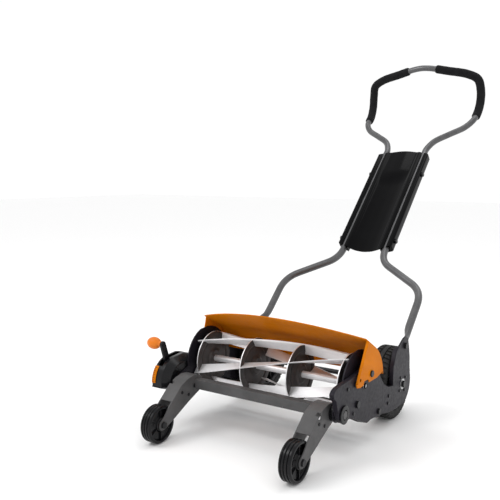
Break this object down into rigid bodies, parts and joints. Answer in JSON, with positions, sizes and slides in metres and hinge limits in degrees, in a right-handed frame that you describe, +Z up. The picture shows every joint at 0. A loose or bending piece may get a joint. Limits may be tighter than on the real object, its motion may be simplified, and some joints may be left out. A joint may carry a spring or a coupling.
{
  "type": "reel mower",
  "caption": "Push reel mower with a helical cutting reel, orange grass chute, chain-driven rear wheels, a swinging front wheel carriage and a folding tube handle with foam grips.",
  "frame": {"origin": "centre of the bounding box at its base, on the ground the four wheels stand on", "axes": "+X to the side away from the height lever, along the reel axis; +Y back towards the handle; +Z up. The mower is pushed towards -Y"},
  "size_m": [0.5842, 1.3612, 1.0725],
  "materials": {
    "side_casting": "satin dark grey paint",
    "carriage_paint": "satin grey paint",
    "blade_steel": "ground steel",
    "disc_paint": "satin grey paint",
    "tube_metal": "metallic grey powder coat",
    "orange_plastic": "semi-gloss orange",
    "black_plastic": "fine-grained black",
    "gloss_black": "gloss black",
    "tyre_rubber": "ribbed black rubber",
    "grip_foam": "matt foam",
    "dark_hardware": "black-coated bolts",
    "zinc_steel": "zinc plated"
  },
  "bodies": {
    "chassis": {"side_plate_left": "side_casting", "side_plate_right": "side_casting", "chain_case_left": "side_casting", "side_cover_right": "side_casting", "bedknife": "blade_steel", "bedknife_carrier": "side_casting", "tie_rod": "dark_hardware", "height_housing": "black_plastic", "height_scale": "orange_plastic", "drive_chain": "zinc_steel", "reel_bearing_left": "zinc_steel", "reel_bearing_right": "zinc_steel", "axle_bearing_left": "zinc_steel", "axle_bearing_right": "zinc_steel", "hinge_bush_left": "black_plastic", "hinge_bush_right": "black_plastic", "bedknife_screw_left": "dark_hardware", "bedknife_screw_right": "dark_hardware", "handle_bolt_left": "dark_hardware", "handle_bolt_right": "dark_hardware", "chute_pin_left": "dark_hardware", "chute_pin_right": "dark_hardware"},
    "reel": {"reel_shaft": "blade_steel", "reel_sprocket": "zinc_steel", "reel_disc_1": "disc_paint", "reel_disc_2": "disc_paint", "reel_disc_3": "disc_paint", "reel_disc_4": "disc_paint", "reel_blade_1": "blade_steel", "reel_blade_2": "blade_steel", "reel_blade_3": "blade_steel", "reel_blade_4": "blade_steel", "reel_blade_5": "blade_steel"},
    "drive_wheels": {"drive_axle": "dark_hardware", "axle_sprocket": "zinc_steel", "tyre_left": "tyre_rubber", "tyre_right": "tyre_rubber", "wheel_rim_left": "black_plastic", "wheel_rim_right": "black_plastic"},
    "carriage": {"carriage_frame": "carriage_paint", "front_axle_left": "dark_hardware", "front_axle_right": "dark_hardware", "height_lever": "black_plastic", "lever_knob": "orange_plastic"},
    "front_wheel_left": {"front_wheel_left": "black_plastic"},
    "front_wheel_right": {"front_wheel_right": "black_plastic"},
    "chute": {"chute": "orange_plastic"},
    "handle": {"lower_tube_left": "tube_metal", "lower_tube_right": "tube_metal", "handle_panel": "gloss_black", "upper_loop": "tube_metal", "grip_left": "grip_foam", "grip_right": "grip_foam", "panel_bolt_low_left": "gloss_black", "panel_bolt_low_right": "gloss_black", "panel_bolt_high_left": "gloss_black", "panel_bolt_high_right": "gloss_black"}
  },
  "joints": [
    {"name": "reel_spin", "type": "hinge", "parent": "chassis", "child": "reel", "pos_m": [0.03185, -0.38256, 0.161], "axis": [1, 0, 0], "continuous": true},
    {"name": "drive_spin", "type": "hinge", "parent": "chassis", "child": "drive_wheels", "pos_m": [0.03185, -0.13356, 0.1005], "axis": [1, 0, 0], "continuous": true},
    {"name": "carriage_swing", "type": "hinge", "parent": "chassis", "child": "carriage", "pos_m": [0.03185, -0.49456, 0.121], "axis": [-1, 0, 0], "range_deg": [-14, 45]},
    {"name": "front_wheel_left_spin", "type": "hinge", "parent": "carriage", "child": "front_wheel_left", "pos_m": [-0.16875, -0.63256, 0.048], "axis": [1, 0, 0], "continuous": true},
    {"name": "front_wheel_right_spin", "type": "hinge", "parent": "carriage", "child": "front_wheel_right", "pos_m": [0.23245, -0.63256, 0.048], "axis": [1, 0, 0], "continuous": true},
    {"name": "chute_tilt", "type": "hinge", "parent": "chassis", "child": "chute", "pos_m": [0.03185, -0.35656, 0.186], "axis": [1, 0, 0], "range_deg": [0, 12]},
    {"name": "handle_fold", "type": "hinge", "parent": "chassis", "child": "handle", "pos_m": [0.03185, -0.12056, 0.205], "axis": [1, 0, 0], "range_deg": [-20, 45]}
  ],
  "couplings": [
    {"joint": "drive_spin", "follows": "reel_spin", "ratio": 0.33333}
  ]
}
